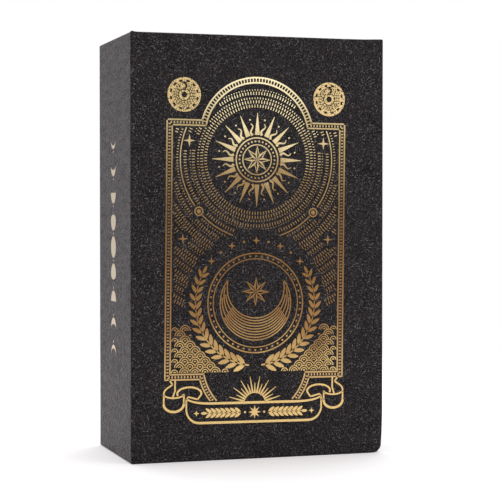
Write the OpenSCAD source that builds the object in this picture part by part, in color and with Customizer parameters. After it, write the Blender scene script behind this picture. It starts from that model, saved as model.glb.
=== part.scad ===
// Boxed deck of tarot cards: a lift-off lid over a tray, both of wrapped board,
// with a stapled booklet and the cards stacked inside.
// The box stands on its lower end. The origin is the middle of that end, X is the
// width, Y the depth with the printed front at -Y, and Z the height. Millimetres.

/* [Cards] */
// Width of a card
card_w = 70; // [60:0.5:90]
// Height of a card
card_h = 120; // [100:0.5:145]
// Thickness of a card
card_t = 0.4; // [0.3:0.01:0.6]
// Air between two cards in the stack
card_air = 0.03; // [0.01:0.01:0.1]
// Corner radius of a card
card_corner_r = 4; // [1:0.5:8]
// Number of trump cards, each a piece of its own
trump_cards = 22; // [10:1:30]
// Number of cards in each of the four suits
suit_cards = 14; // [8:1:16]

/* [Booklet] */
// How much narrower the booklet is than a card, at each side
booklet_side_margin = 1.5; // [0.5:0.1:6]
// How much shorter the booklet is than a card
booklet_short = 4; // [0:0.5:20]
// Number of folded sheets inside the cover
booklet_sheets = 10; // [4:1:16]
// Thickness of one leaf
leaf_t = 0.14; // [0.08:0.01:0.2]
// Air between two leaves
leaf_air = 0.02; // [0.01:0.01:0.05]
// Thickness of the cover
cover_t = 0.25; // [0.15:0.01:0.4]
// Distance from the fold to the score line that the front cover turns on
cover_score = 3; // [0.5:0.5:8]
// Radius of the staple wire
wire_r = 0.2; // [0.15:0.01:0.3]
// Room round the wire inside the innermost fold
wire_room = 0.05; // [0.02:0.01:0.1]
// Room round a staple leg in its hole
leg_room = 0.08; // [0.06:0.01:0.12]
// Radius of the wire's bends, along its middle
wire_bend_r = 0.32; // [0.31:0.01:0.5]
// Length of a staple's crown
staple_crown = 12; // [11:0.5:16]
// Length of a clinched staple tip
staple_tip = 4.5; // [2:0.1:5]
// Distance of a staple's middle from the end of the booklet
staple_inset = 28; // [15:1:40]

/* [Box walls] */
// Thickness of the grey board
board_t = 1.5; // [1:0.1:2.5]
// Thickness of the covering paper and the lining paper
paper_t = 0.2; // [0.12:0.01:0.3]
// Room between board and covering paper for the corner stays
stay_space = 0.12; // [0.1:0.01:0.2]
// Play of a corner stay on each of its faces
stay_play = 0.01; // [0.005:0.005:0.03]
// Length of a corner stay along each wall
stay_leg = 10; // [6:0.5:14]
// Width of the open joint where two board walls meet
corner_kerf = 0.1; // [0.05:0.01:0.3]
// Radius of the folded outer edges
edge_r = 0.5; // [0.4:0.05:1.5]
// Depth of the paper turned in over the rim
turn_in = 15; // [8:0.5:18]
// Bare board between the turned-in paper and the lining
lining_gap = 0.5; // [0.2:0.1:2]
// Radius of the thumb notches in the long walls of the tray
thumb_r = 11; // [8:0.5:16]

/* [Fits] */
// Clearance under and behind what rests in the tray
seat_gap = 0.1; // [0.05:0.01:0.3]
// Clearance beside the cards, at each side
side_gap = 1.4; // [0.5:0.1:4]
// Clearance over the cards' upper ends
head_gap = 1.2; // [0.5:0.1:4]
// Clearance between tray and lid, on each wall
lid_gap = 0.3; // [0.2:0.05:0.8]
// Clearance between the tray's rim and the lid's panel
rim_gap = 0.3; // [0.1:0.05:0.8]
// Clearance between the booklet and the lid's panel
top_gap = 1; // [0.5:0.1:6]

/* [Foil print] */
// Thickness of the foil
foil_t = 0.03; // [0.02:0.01:0.06]
// Sideways shift of the print on the front
print_shift = -1.25; // [-2:0.05:2]
// Clockwise turn of the print on the front, in degrees
print_turn = 0.6; // [-1.5:0.1:1.5]
// Margin from the front's side edges to the frame
frame_side_margin = 11.9; // [9:0.1:15]
// Margin from the front's upper edge to the frame's shoulders
frame_top_margin = 26.1; // [24:0.1:32]
// Margin from the front's lower edge to the frame
frame_bottom_margin = 24.6; // [23:0.1:30]
// Outer radius of the frame's arches
arch_r = 18.5; // [16:0.1:19]
// Distance of an arch's centre inside the frame's end
arch_drop = 5; // [3:0.1:8]
// Width of the frame's two rules
rule_w = 0.46; // [0.3:0.02:0.8]
// Width of the band between the rules
band_w = 1.13; // [0.6:0.01:1.5]

/* [Medallions] */
// Radius of the corner medallions
medallion_r = 5.25; // [4.5:0.05:5.5]
// Distance of a medallion's centre inside the frame's side
medallion_inset = 5.5; // [5:0.1:6]
// Distance of a medallion's centre above the frame's shoulder
medallion_rise = 7.35; // [6.5:0.05:9]
// Number of slots round a medallion
medallion_slots = 12; // [6:1:16]
// Width of a medallion's rim outside its slots
medallion_rim = 0.66; // [0.4:0.02:0.8]
// Width of a slot, towards the medallion's centre
medallion_slot = 0.66; // [0.4:0.02:0.8]
// Radius of the hole in a medallion's middle
medallion_hub_r = 0.85; // [0.4:0.05:1.2]
// Radius of the small moon cut above that hole
medallion_moon_r = 1.05; // [0.6:0.05:1.1]
// Distance of the small moon from a medallion's centre
medallion_moon_rise = 2.5; // [2.4:0.05:2.6]

/* [Banner] */
// Distance from the frame's side to the end of the banner's panel
banner_inset = 6.8; // [6.5:0.1:9]
// Height of the panel at its ends
banner_h = 8; // [6:0.1:8.5]
// Sag of the panel's upper edge from its ends to its middle
banner_sag = 1.3; // [0.5:0.1:2.5]
// Height of the panel's lower edge above the box's lower end
banner_foot = 11.1; // [9:0.1:13]
// Radius of the panel's lower corners
banner_corner_r = 4.4; // [1:0.1:4.8]
// Width of the banner's lines
banner_line = 0.6; // [0.3:0.05:0.8]
// Gap between the panel and the ribbon end beside it
ribbon_gap = 0.3; // [0.2:0.05:0.6]
// Radius of a ribbon end's round foot, along the outside
ribbon_r = 3.4; // [2.5:0.1:3.5]
// Height of a ribbon end's straight sides
ribbon_side = 2.4; // [1.5:0.1:3]
// Sag of a ribbon end's upper edge
ribbon_sag = 1.2; // [0.5:0.1:1.4]
// Rise of a ribbon end above the panel's ends
ribbon_rise = 1.4; // [0.5:0.1:2]

/* [Sun and moon] */
// Distance of the sun's middle below the frame's shoulders
sun_drop = 11.9; // [10:0.1:16]
// Radius of the ring round the sun's star, along the outside
sun_r = 4.8; // [3.5:0.1:5.5]
// Radius of the sun's star
sun_star_r = 4.1; // [2:0.1:4.2]
// Radius of the sun's outer ring, along the outside
sun_ring_r = 6.9; // [6:0.1:8]
// Gap between the outer ring and the rays
sun_ray_gap = 0.7; // [0.3:0.1:1.5]
// Number of the sun's long rays, each with a short one beside it
sun_rays = 16; // [8:1:18]
// Length of a long ray
sun_ray_l = 6.8; // [4:0.1:8]
// Width of a long ray's foot
sun_ray_w = 1.6; // [0.8:0.05:1.7]
// Length of a short ray
sun_short_l = 3.6; // [2:0.1:4]
// Width of a short ray's foot
sun_short_w = 0.8; // [0.4:0.05:0.9]
// Distance of the moon's middle above the frame's foot
moon_rise = 23.4; // [22:0.1:26]
// Radius of the moon's crescent
moon_r = 11.4; // [10:0.1:13]
// Radius of the circle that hollows the crescent
moon_bite_r = 9.2; // [8:0.1:10]
// Rise of that circle above the moon's middle
moon_bite_rise = 4.6; // [4:0.1:6]
// Radius of the star between the crescent's horns
moon_star_r = 4.3; // [2:0.1:4.5]
// Rise of that star above the moon's middle
moon_star_rise = 3.5; // [2.5:0.1:5]
// Radius of the ring round the moon, along the outside
moon_ring_r = 15.5; // [14:0.1:16]
// Radius of the two leaf sprays round the moon, along their stems
spray_r = 19.2; // [18.5:0.1:20]
// Angle of a spray's foot, counted up from the level of the moon's middle
spray_from = -84; // [-86:1:-60]
// Angle of a spray's tip
spray_to = 28; // [0:1:50]
// Width of a spray's stem
spray_stem = 0.5; // [0.3:0.05:0.8]
// Number of leaves along a spray
spray_leaves = 30; // [12:1:32]
// Angle between a leaf and the stem
spray_lean = 38; // [25:1:45]
// Length of a leaf
spray_leaf_l = 4; // [2.5:0.1:4.2]
// Width of a leaf
spray_leaf_w = 1.2; // [0.6:0.05:1.3]

/* [Side print] */
// Radius of the moons on the side
phase_r = 3.35; // [2.5:0.05:3.6]
// Distance between two moons
phase_pitch = 8.5; // [8:0.1:12]
// Radius of the dots between the moons
phase_dot_r = 0.38; // [0.2:0.02:0.5]
// Distance of the side print's middle from the box's back
phase_from_back = 19.7; // [15:0.1:24]

/* [Hidden] */
$fn = 64;
overcut = 1;

// Box sizes, from the cards outwards
wall = 2 * paper_t + stay_space + board_t;
board_in = paper_t + stay_space;
board_inner = board_in + board_t;
card_pitch = card_t + card_air;
deck_cards = trump_cards + 4 * suit_cards;
deck_t = deck_cards * card_pitch - card_air;
leaf_pitch = leaf_t + leaf_air;
fold_r = wire_r + wire_room;
cover_in_r = fold_r + booklet_sheets * leaf_pitch;
booklet_r = cover_in_r + cover_t;
tray_w = card_w + 2 * side_gap + 2 * wall;
tray_h = card_h + seat_gap + head_gap + 2 * wall;
box_w = tray_w + 2 * lid_gap + 2 * wall;
box_h = tray_h + 2 * lid_gap + 2 * wall;
box_d = 2 * wall + 2 * seat_gap + deck_t + 2 * booklet_r + top_gap;
tray_d = box_d - wall - rim_gap;

// Where the contents rest
rest_z = 2 * wall + lid_gap + seat_gap;
deck_back_y = box_d / 2 - wall - seat_gap;
booklet_w = card_w - 2 * booklet_side_margin;
booklet_h = card_h - booklet_short;
booklet_y = deck_back_y - deck_t - seat_gap - booklet_r;
fold_x = -booklet_w / 2 + booklet_r;
leaf_run = booklet_w - booklet_r;
staple_zs = [staple_inset, booklet_h - staple_inset];

// Print layout, seen from the front, with v measured up from the lower end
frame_w = box_w - 2 * frame_side_margin;
frame_foot = frame_bottom_margin;
frame_head = box_h - frame_top_margin;
frame_mid = (frame_foot + frame_head) / 2;
border_w = 2 * rule_w + band_w;
banner_w = frame_w - 2 * banner_inset;
banner_head = banner_foot + banner_h;

// How far a moon's inner edge bows out, as a share of its radius, from the full moon outwards
phase_bows = [0.5, 0, -0.4, -0.66];
medallion_moon_bow = -0.4;
// Inner radius of a star as a share of its outer one
star_waist = 0.4;
// Roundness of small circles
small_fn = 24;

suit_names = ["pentacles", "swords", "cups", "wands"];
function two_digits(i) = str(i < 10 ? "0" : "", i);
trump_names = [for (i = [0:trump_cards - 1]) str("trump_", two_digits(i))];

// Plain shapes

module rounded_rect(w, h, r) {
    square([w - 2 * r, h], center = true);
    square([w, h - 2 * r], center = true);
    for (x = [-1, 1], y = [-1, 1])
        translate([x * (w / 2 - r), y * (h / 2 - r)]) circle(r);
}

// A wall-to-wall section with its two floor corners rounded
module floor_section(w, d, r) {
    translate([-w / 2, r]) square([w, d - r]);
    translate([-w / 2 + r, 0]) square([w - 2 * r, d]);
    for (x = [-1, 1]) translate([x * (w / 2 - r), r]) circle(r);
}

// A block with its floor at z = 0, rounded everywhere but round its flat top
module soft_block(w, h, d, r) {
    intersection() {
        linear_extrude(d) rounded_rect(w, h, r);
        translate([0, h / 2, 0]) rotate([90, 0, 0]) linear_extrude(h) floor_section(w, d, r);
        rotate([90, 0, 90]) translate([0, 0, -w / 2]) linear_extrude(w) floor_section(h, d, r);
    }
}

// A soft block that lies inside a w by h block, drawn in on every side and at the floor
module inset_block(w, h, inset, top, r) {
    translate([0, 0, inset]) soft_block(w - 2 * inset, h - 2 * inset, top - inset, r - inset);
}

module plain_block(w, h, inset, foot, top) {
    translate([-w / 2 + inset, -h / 2 + inset, foot])
        cube([w - 2 * inset, h - 2 * inset, top - foot]);
}

module notch(w, d, r) {
    if (r > 0)
        translate([-w / 2 - overcut, 0, d]) rotate([0, 90, 0]) cylinder(r = r, h = w + 2 * overcut);
}

module star(r, tips = 8) {
    polygon([for (i = [0:2 * tips - 1])
        let (a = 90 + i * 180 / tips) (i % 2 == 0 ? r : r * star_waist) * [cos(a), sin(a)]]);
}

module ring(outer, line) {
    difference() {
        circle(outer);
        circle(outer - line);
    }
}

// The part of a ring between two angles less than 180 degrees apart
module arc_band(r, line, from, to) {
    steps = 4;
    intersection() {
        ring(r + line / 2, line);
        polygon(concat([[0, 0]], [for (i = [0:steps])
            let (a = from + (to - from) * i / steps) 2 * r * [cos(a), sin(a)]]));
    }
}

// A leaf between two arcs, with its foot at the origin and its tip on the x axis
module leaf(length, width) {
    arc_r = (length * length + width * width) / (4 * width);
    translate([length / 2, 0]) intersection() {
        translate([0, arc_r - width / 2]) circle(arc_r, $fn = small_fn);
        translate([0, width / 2 - arc_r]) circle(arc_r, $fn = small_fn);
    }
}

// A moon lit from -x: gibbous where its inner edge bows out, half at 0, a crescent below 0
module moon_phase(r, bow) {
    k = abs(bow);
    arc_r = k == 0 ? 0 : r * (1 + k * k) / (2 * k);
    arc_x = k == 0 ? 0 : r * (1 - k * k) / (2 * k);
    if (bow < 0) difference() {
        circle(r);
        translate([arc_x, 0]) circle(arc_r);
    }
    else intersection() {
        circle(r);
        if (bow == 0) translate([-2 * r, -r]) square(2 * r);
        else translate([-arc_x, 0]) circle(arc_r);
    }
}

// What lies above an arc that sags between two ends at the given head, inset mm below it
module over_sag(half, sag, head, inset) {
    arc_r = (half * half + sag * sag) / (2 * sag);
    translate([0, head - sag + arc_r]) circle(arc_r + inset, $fn = 4 * $fn);
}

// Wrapped board shells, floor down and open upwards, with thumb notches of radius n

module shell_wrap(w, h, d, n = 0) {
    difference() {
        soft_block(w, h, d, edge_r);
        difference() {
            inset_block(w, h, paper_t, d - paper_t, edge_r);
            plain_block(w, h, board_inner, d - turn_in, d);
            if (n > 0) notch(w, d, n + paper_t);
        }
        plain_block(w, h, wall, wall, d + overcut);
        notch(w, d, n);
    }
}

module shell_board(w, h, d, n = 0) {
    side = w / 2 - board_inner;
    difference() {
        inset_block(w, h, board_in, d - paper_t, edge_r);
        plain_block(w, h, board_inner, board_inner, d);
        for (x = [-side, side - corner_kerf], y = [-h / 2, h / 2 - board_inner])
            translate([x, y, board_inner]) cube([corner_kerf, board_inner, d]);
        if (n > 0) notch(w, d, n + board_in);
    }
}

module shell_lining(w, h, d, n = 0) {
    difference() {
        plain_block(w, h, board_inner, board_inner, d - turn_in - lining_gap);
        plain_block(w, h, wall, wall, d);
        if (n > 0) notch(w, d, n + paper_t + lining_gap);
    }
}

module shell_stays(w, h, d) {
    outer = paper_t + stay_play;
    inner = board_in - stay_play;
    translate([0, 0, edge_r]) linear_extrude(d - paper_t - edge_r) intersection() {
        difference() {
            rounded_rect(w - 2 * outer, h - 2 * outer, edge_r - outer);
            rounded_rect(w - 2 * inner, h - 2 * inner, edge_r - inner);
        }
        for (x = [-1, 1], y = [-1, 1])
            translate([x * w / 2, y * h / 2]) square(2 * stay_leg, center = true);
    }
}

// The lid's panel is the front of the box, the tray's panel its back

module lid_place() {
    translate([0, -box_d / 2, box_h / 2]) rotate([-90, 0, 0]) children();
}

module tray_place() {
    translate([0, box_d / 2, box_h / 2]) rotate([90, 0, 0]) children();
}

module lid_board() {
    color("dimgray") lid_place() shell_board(box_w, box_h, box_d);
}

module lid_corner_stays() {
    color("tan") lid_place() shell_stays(box_w, box_h, box_d);
}

module lid_wrap() {
    color([0.14, 0.13, 0.14]) lid_place() shell_wrap(box_w, box_h, box_d);
}

module lid_lining() {
    color([0.2, 0.19, 0.2]) lid_place() shell_lining(box_w, box_h, box_d);
}

module tray_board() {
    color("dimgray") tray_place() shell_board(tray_w, tray_h, tray_d, thumb_r);
}

module tray_corner_stays() {
    color("tan") tray_place() shell_stays(tray_w, tray_h, tray_d);
}

module tray_wrap() {
    color([0.14, 0.13, 0.14]) tray_place() shell_wrap(tray_w, tray_h, tray_d, thumb_r);
}

module tray_lining() {
    color([0.2, 0.19, 0.2]) tray_place() shell_lining(tray_w, tray_h, tray_d, thumb_r);
}

// Foil on the front and on the left side

module on_front() {
    color("goldenrod") translate([0, -box_d / 2, 0]) rotate([90, 0, 0]) linear_extrude(foil_t)
        translate([print_shift, box_h / 2]) rotate(-print_turn) translate([0, -box_h / 2]) children();
}

module on_side() {
    color("goldenrod") translate([-box_w / 2, 0, 0]) rotate([90, 0, -90]) linear_extrude(foil_t)
        translate([phase_from_back - box_d / 2, box_h / 2]) children();
}

module frame_area(inset) {
    translate([-frame_w / 2 + inset, frame_foot + inset])
        square([frame_w - 2 * inset, frame_head - frame_foot - 2 * inset]);
    for (v = [frame_foot + arch_drop, frame_head - arch_drop])
        translate([0, v]) circle(arch_r - inset);
}

module frame_rule(inset) {
    difference() {
        frame_area(inset);
        frame_area(inset + rule_w);
    }
}

module banner_area(inset) {
    r = banner_corner_r - inset;
    half = banner_w / 2 - inset;
    foot = banner_foot + inset;
    difference() {
        union() {
            translate([-half, foot + r]) square([2 * half, banner_head - foot - r]);
            translate([-half + r, foot]) square([2 * (half - r), banner_head - foot]);
            for (x = [-1, 1]) translate([x * (half - r), foot + r]) circle(r);
        }
        over_sag(banner_w / 2, banner_sag, banner_head, inset);
    }
}

// A ribbon end that hangs beside the panel, with a round foot and a sagging upper edge
module ribbon_area(inset) {
    r = ribbon_r - inset;
    difference() {
        union() {
            circle(r);
            translate([-r, 0]) square([2 * r, ribbon_side]);
        }
        over_sag(ribbon_r, ribbon_sag, ribbon_side, inset);
    }
}

module foil_frame() {
    on_front() difference() {
        for (inset = [0, rule_w + band_w]) frame_rule(inset);
        translate([-frame_w / 2, 0]) square([frame_w, banner_head]);
    }
}

module medallion() {
    slot_r = medallion_r - medallion_rim - medallion_slot / 2;
    slot_l = PI * slot_r / medallion_slots;
    difference() {
        circle(medallion_r);
        circle(medallion_hub_r, $fn = small_fn);
        for (i = [0:medallion_slots - 1]) rotate((i + 0.5) * 360 / medallion_slots)
            translate([slot_r, 0]) square([medallion_slot, slot_l], center = true);
        translate([0, medallion_moon_rise]) moon_phase(medallion_moon_r, medallion_moon_bow, $fn = small_fn);
    }
}

module foil_medallions() {
    on_front() for (x = [-1, 1])
        translate([x * (frame_w / 2 - medallion_inset), frame_head + medallion_rise]) medallion();
}

module foil_banner() {
    ribbon_x = banner_w / 2 + ribbon_gap + ribbon_r;
    ribbon_level = banner_head + ribbon_rise - ribbon_side;
    on_front() {
        difference() {
            banner_area(0);
            banner_area(banner_line);
        }
        for (x = [-1, 1]) translate([x * ribbon_x, ribbon_level]) difference() {
            ribbon_area(0);
            ribbon_area(banner_line);
        }
    }
}

module sun_ray(foot_r, length, foot_w) {
    polygon([[foot_r, -foot_w / 2], [foot_r + length, 0], [foot_r, foot_w / 2]]);
}

module sun_print() {
    ray_foot = sun_ring_r + sun_ray_gap;
    ring(sun_ring_r, rule_w);
    ring(sun_r, rule_w);
    star(sun_star_r);
    for (i = [0:sun_rays - 1]) rotate(i * 360 / sun_rays) {
        sun_ray(ray_foot, sun_ray_l, sun_ray_w);
        rotate(180 / sun_rays) sun_ray(ray_foot, sun_short_l, sun_short_w);
    }
}

module moon_print() {
    difference() {
        circle(moon_r);
        translate([0, moon_bite_rise]) circle(moon_bite_r);
    }
    translate([0, moon_star_rise]) star(moon_star_r);
    ring(moon_ring_r, rule_w);
}

// A curved stem with leaves on alternate sides and one at its tip
module spray() {
    arc_band(spray_r, spray_stem, spray_from, spray_to);
    for (i = [0:spray_leaves]) {
        tip = i == spray_leaves;
        lean = tip ? 0 : i % 2 == 0 ? spray_lean : -spray_lean;
        rotate(spray_from + (spray_to - spray_from) * (tip ? 1 : (i + 0.5) / spray_leaves))
            translate([spray_r, 0]) rotate(90 + lean) leaf(spray_leaf_l, spray_leaf_w);
    }
}

module foil_emblem() {
    on_front() {
        translate([0, frame_head - sun_drop]) sun_print();
        translate([0, frame_foot + moon_rise]) {
            moon_print();
            spray();
            mirror([1, 0]) spray();
        }
    }
}

// The full moon in the middle and its phases towards both ends, with dots between
module foil_spine() {
    on_side() {
        circle(phase_r);
        for (side = [-1, 1], i = [0:len(phase_bows) - 1]) {
            level = side * (i + 1) * phase_pitch;
            translate([0, level]) rotate(side * 90) moon_phase(phase_r, phase_bows[i]);
            translate([0, level - side * phase_pitch / 2]) circle(phase_dot_r, $fn = small_fn);
        }
    }
}

// Booklet: nested folded sheets inside a cover, with two wire staples in the fold

module booklet_place() {
    translate([fold_x, booklet_y, rest_z]) children();
}

module fold_area(r, run) {
    circle(r);
    translate([0, -r]) square([run, 2 * r]);
}

module folded_sheet(inner_r, outer_r) {
    linear_extrude(booklet_h) difference() {
        fold_area(outer_r, leaf_run);
        fold_area(inner_r, leaf_run + overcut);
    }
}

module staple_holes() {
    for (z = staple_zs, side = [-1, 1])
        translate([0, 0, z + side * staple_crown / 2]) rotate([0, -90, 0])
            cylinder(r = wire_r + leg_room, h = booklet_r + overcut);
}

module booklet_front_cover() {
    color([0.12, 0.11, 0.12]) booklet_place() linear_extrude(booklet_h)
        translate([cover_score, -booklet_r]) square([leaf_run - cover_score, cover_t]);
}

module booklet_back_cover() {
    color([0.12, 0.11, 0.12]) booklet_place() difference() {
        folded_sheet(cover_in_r, booklet_r);
        translate([cover_score, -booklet_r - overcut, -overcut])
            cube([leaf_run, booklet_r + overcut, booklet_h + 2 * overcut]);
        staple_holes();
    }
}

module booklet_pages() {
    color("ivory") booklet_place() difference() {
        for (i = [0:booklet_sheets - 1]) {
            inner_r = fold_r + i * leaf_pitch;
            folded_sheet(inner_r, inner_r + leaf_t);
        }
        staple_holes();
    }
}

// Half of a staple: half its crown, a bend, a leg, a bend and a clinched tip
module staple_half() {
    crown_x = -booklet_r - wire_r - stay_play;
    leg_z = staple_crown / 2;
    bend_z = leg_z - wire_bend_r;
    translate([crown_x, 0, 0]) cylinder(r = wire_r, h = bend_z);
    translate([crown_x + wire_bend_r, 0, bend_z]) rotate([90, 0, 0]) rotate([0, 0, 90])
        rotate_extrude(angle = 90) translate([wire_bend_r, 0]) circle(wire_r);
    translate([crown_x + wire_bend_r, 0, leg_z]) rotate([0, 90, 0])
        cylinder(r = wire_r, h = -crown_x - 2 * wire_bend_r);
    translate([-wire_bend_r, 0, bend_z]) rotate([90, 0, 0])
        rotate_extrude(angle = 90) translate([wire_bend_r, 0]) circle(wire_r);
    translate([0, 0, bend_z - staple_tip]) cylinder(r = wire_r, h = staple_tip);
}

module booklet_staples() {
    color("silver") booklet_place() for (z = staple_zs) translate([0, 0, z]) {
        staple_half();
        mirror([0, 0, 1]) staple_half();
    }
}

// Cards, counted from the back of the tray: four suits, then the trumps with the first in front

module card(place) {
    translate([0, deck_back_y - place * card_pitch, rest_z + card_h / 2]) rotate([90, 0, 0])
        linear_extrude(card_t) rounded_rect(card_w, card_h, card_corner_r);
}

module suit(index) {
    color("darkslategray") for (i = [0:suit_cards - 1]) card(index * suit_cards + i);
}

module trump(index) {
    color("darkkhaki") card(deck_cards - 1 - index);
}

lid_board();
lid_corner_stays();
lid_wrap();
lid_lining();
foil_frame();
foil_medallions();
foil_banner();
foil_emblem();
foil_spine();
tray_board();
tray_corner_stays();
tray_wrap();
tray_lining();
booklet_front_cover();
booklet_back_cover();
booklet_pages();
booklet_staples();
for (i = [0:trump_cards - 1])
    trump(i);
for (i = [0:3])
    suit(i);
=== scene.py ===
import math

import bmesh
import bpy
from mathutils import Matrix, Vector


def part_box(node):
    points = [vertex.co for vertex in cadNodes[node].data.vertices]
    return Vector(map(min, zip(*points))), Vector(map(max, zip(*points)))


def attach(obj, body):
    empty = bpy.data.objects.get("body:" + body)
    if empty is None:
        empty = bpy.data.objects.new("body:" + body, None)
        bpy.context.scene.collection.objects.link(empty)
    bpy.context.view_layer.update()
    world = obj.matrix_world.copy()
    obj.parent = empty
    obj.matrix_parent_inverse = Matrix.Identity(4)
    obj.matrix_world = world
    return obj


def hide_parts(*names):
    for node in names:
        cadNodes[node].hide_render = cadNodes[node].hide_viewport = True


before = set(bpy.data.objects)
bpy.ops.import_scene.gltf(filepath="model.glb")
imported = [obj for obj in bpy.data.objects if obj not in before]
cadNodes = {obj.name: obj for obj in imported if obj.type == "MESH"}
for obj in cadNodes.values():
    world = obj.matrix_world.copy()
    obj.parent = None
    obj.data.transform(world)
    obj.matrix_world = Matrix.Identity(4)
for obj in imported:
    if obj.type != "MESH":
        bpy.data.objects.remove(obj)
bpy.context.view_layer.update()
mm = 0.001

lidLow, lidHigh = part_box("lid_wrap")
boxSize = lidHigh - lidLow
boxW, boxD, boxH = (side / mm for side in boxSize)
foilDepth = (lidLow.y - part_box("foil_frame")[0].y) / mm
print(f"frame loaded: box {boxW:.1f} x {boxD:.1f} x {boxH:.1f} mm")


# node helpers: a value may be a number, a colour or the socket of another node

def setInput(tree, socket, value):
    if isinstance(value, bpy.types.NodeSocket):
        tree.links.new(value, socket)
    elif socket.type == "RGBA":
        socket.default_value = (*value, 1.0)
    else:
        socket.default_value = value


def setInputs(tree, node, values):
    for name, value in values.items():
        setInput(tree, node.inputs[name], value)


def addNode(tree, kind, *values, operation=None):
    # a new node, its first inputs set in their order
    node = tree.nodes.new("ShaderNode" + kind)
    if operation:
        node.operation = operation
    for socket, value in zip(node.inputs, values):
        setInput(tree, socket, value)
    return node


def addMath(tree, operation, *values):
    return addNode(tree, "Math", *values, operation=operation).outputs[0]


def chainMath(tree, operation, values):
    # one operation carried on through all the values
    result, *others = values
    for value in others:
        result = addMath(tree, operation, result, value)
    return result


def addBlend(tree, share, first, second):
    # first where the share is 0, second where it is 1
    return addMath(tree, "MULTIPLY_ADD", share, addMath(tree, "SUBTRACT", second, first), first)


def addVectorMath(tree, operation, *values):
    node = addNode(tree, "VectorMath", *values, operation=operation)
    return node.outputs["Value" if operation == "LENGTH" else "Vector"]


def splitVector(tree, vector):
    return tuple(addNode(tree, "SeparateXYZ", vector).outputs)


def joinVector(tree, x, y):
    return addNode(tree, "CombineXYZ", x, y).outputs[0]


def addRange(tree, value, low, high, toLow=0.0, toHigh=1.0):
    node = addNode(tree, "MapRange", value, low, high, toLow, toHigh)
    node.interpolation_type = "SMOOTHSTEP"
    return node.outputs[0]


def addFade(tree, value, full, gone):
    # 1 up to that distance from zero, then falling to 0
    return addRange(tree, addMath(tree, "ABSOLUTE", value), full, gone, 1.0, 0.0)


def addMix(tree, share, first, second):
    node = tree.nodes.new("ShaderNodeMix")
    node.data_type = "RGBA"
    for index, value in ((0, share), (6, first), (7, second)):   # its sockets for colours
        setInput(tree, node.inputs[index], value)
    return node.outputs[2]


def addNoise(tree, vector, scale, detail=2.0):
    node = addNode(tree, "TexNoise", vector)
    setInputs(tree, node, {"Scale": scale, "Detail": detail})
    return node.outputs["Fac"]


noiseSpan = (0.3, 0.7)   # most values of a noise lie between these


def addPatches(tree, place, scale, strength, detail):
    # a factor that wanders about 1
    return addMath(tree, "MULTIPLY_ADD", addNoise(tree, place, scale, detail), strength, 1.0 - strength / 2)


def addBump(tree, shader, height, strength, distance):
    node = tree.nodes.new("ShaderNodeBump")
    setInputs(tree, node, {"Strength": strength, "Distance": distance, "Height": height})
    tree.links.new(node.outputs[0], shader.inputs["Normal"])


def startMaterial(name, roughness=0.5):
    material = bpy.data.materials.new(name)
    material.use_nodes = True
    tree = material.node_tree
    shader = tree.nodes["Principled BSDF"]
    shader.inputs["Roughness"].default_value = roughness
    return material, tree, shader


def objectPlace(tree):
    # the piece's own coordinates in millimetres
    return addVectorMath(tree, "MULTIPLY", addNode(tree, "TexCoord").outputs["Object"], (1 / mm,) * 3)


def objectNormal(tree):
    return addNode(tree, "TexCoord").outputs["Normal"]


# black fibre paper: short pale fibres lie in each face at random angles

paperLook = {
    "base": (0.0010, 0.0008, 0.0009),
    "cloud": (0.0410, 0.0350, 0.0365),
    "fibre": (0.38, 0.36, 0.36),
    "roughness": (0.24, 0.52),
    "specular": 0.044,
    "sheen": {"Sheen Weight": 0.04, "Sheen Roughness": 0.5, "Sheen Tint": (1.0, 0.62, 0.95)},
    # cell between fibres, half length and half width in mm, and the share of cells that hold one
    "fibres": [(1.10, 0.46, 0.052, 0.52), (0.75, 0.27, 0.047, 0.60), (2.00, 0.68, 0.056, 0.36)],
    "fibreShift": 37.0, "sideShift": 311.0,   # so that layers and faces differ
    "faintest": 0.15, "rarity": 3.0,          # few fibres are bright
    "bodyShare": 0.5, "reachShare": 0.7,      # where they start to fade at edge and end
    "facing": 0.7,                            # a face's normal leans this far to its side
    "grain": 2.2, "cloudSpan": (0.28, 0.72),
    # scale, strength and detail of paler patches, and of glossier ones, which show on the sides
    "shade": (0.13, 1.1, 2.0), "gloss": (0.30, 2.8, 3.0),
    "bump": (0.8, 0.00006),
    "mottle": (0.75, 3.0), "mottleHeight": 10.0,        # broad unevenness of the sheet
    "sideMottleHeight": 9.0, "sideScale": (0.5, 1.8),   # finer on the sides, along depth and height
}


def faceCoordinates(tree, sideScale=(1.0, 1.0)):
    # the two coordinates that lie in the face, chosen by the way it points, and whether it is a side
    x, y, z = splitVector(tree, objectPlace(tree))
    nx, _, nz = splitVector(tree, objectNormal(tree))
    onSide, onEnd = (addMath(tree, "GREATER_THAN", addMath(tree, "ABSOLUTE", n), paperLook["facing"])
                     for n in (nx, nz))
    across = addBlend(tree, onSide, x, addMath(tree, "MULTIPLY", y, sideScale[0]))
    across = addMath(tree, "MULTIPLY_ADD", onSide, paperLook["sideShift"], across)
    up = addBlend(tree, onEnd, z, y)
    up = addMath(tree, "MULTIPLY", up, addBlend(tree, onSide, 1.0, sideScale[1]))
    return joinVector(tree, across, up), onSide


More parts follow.
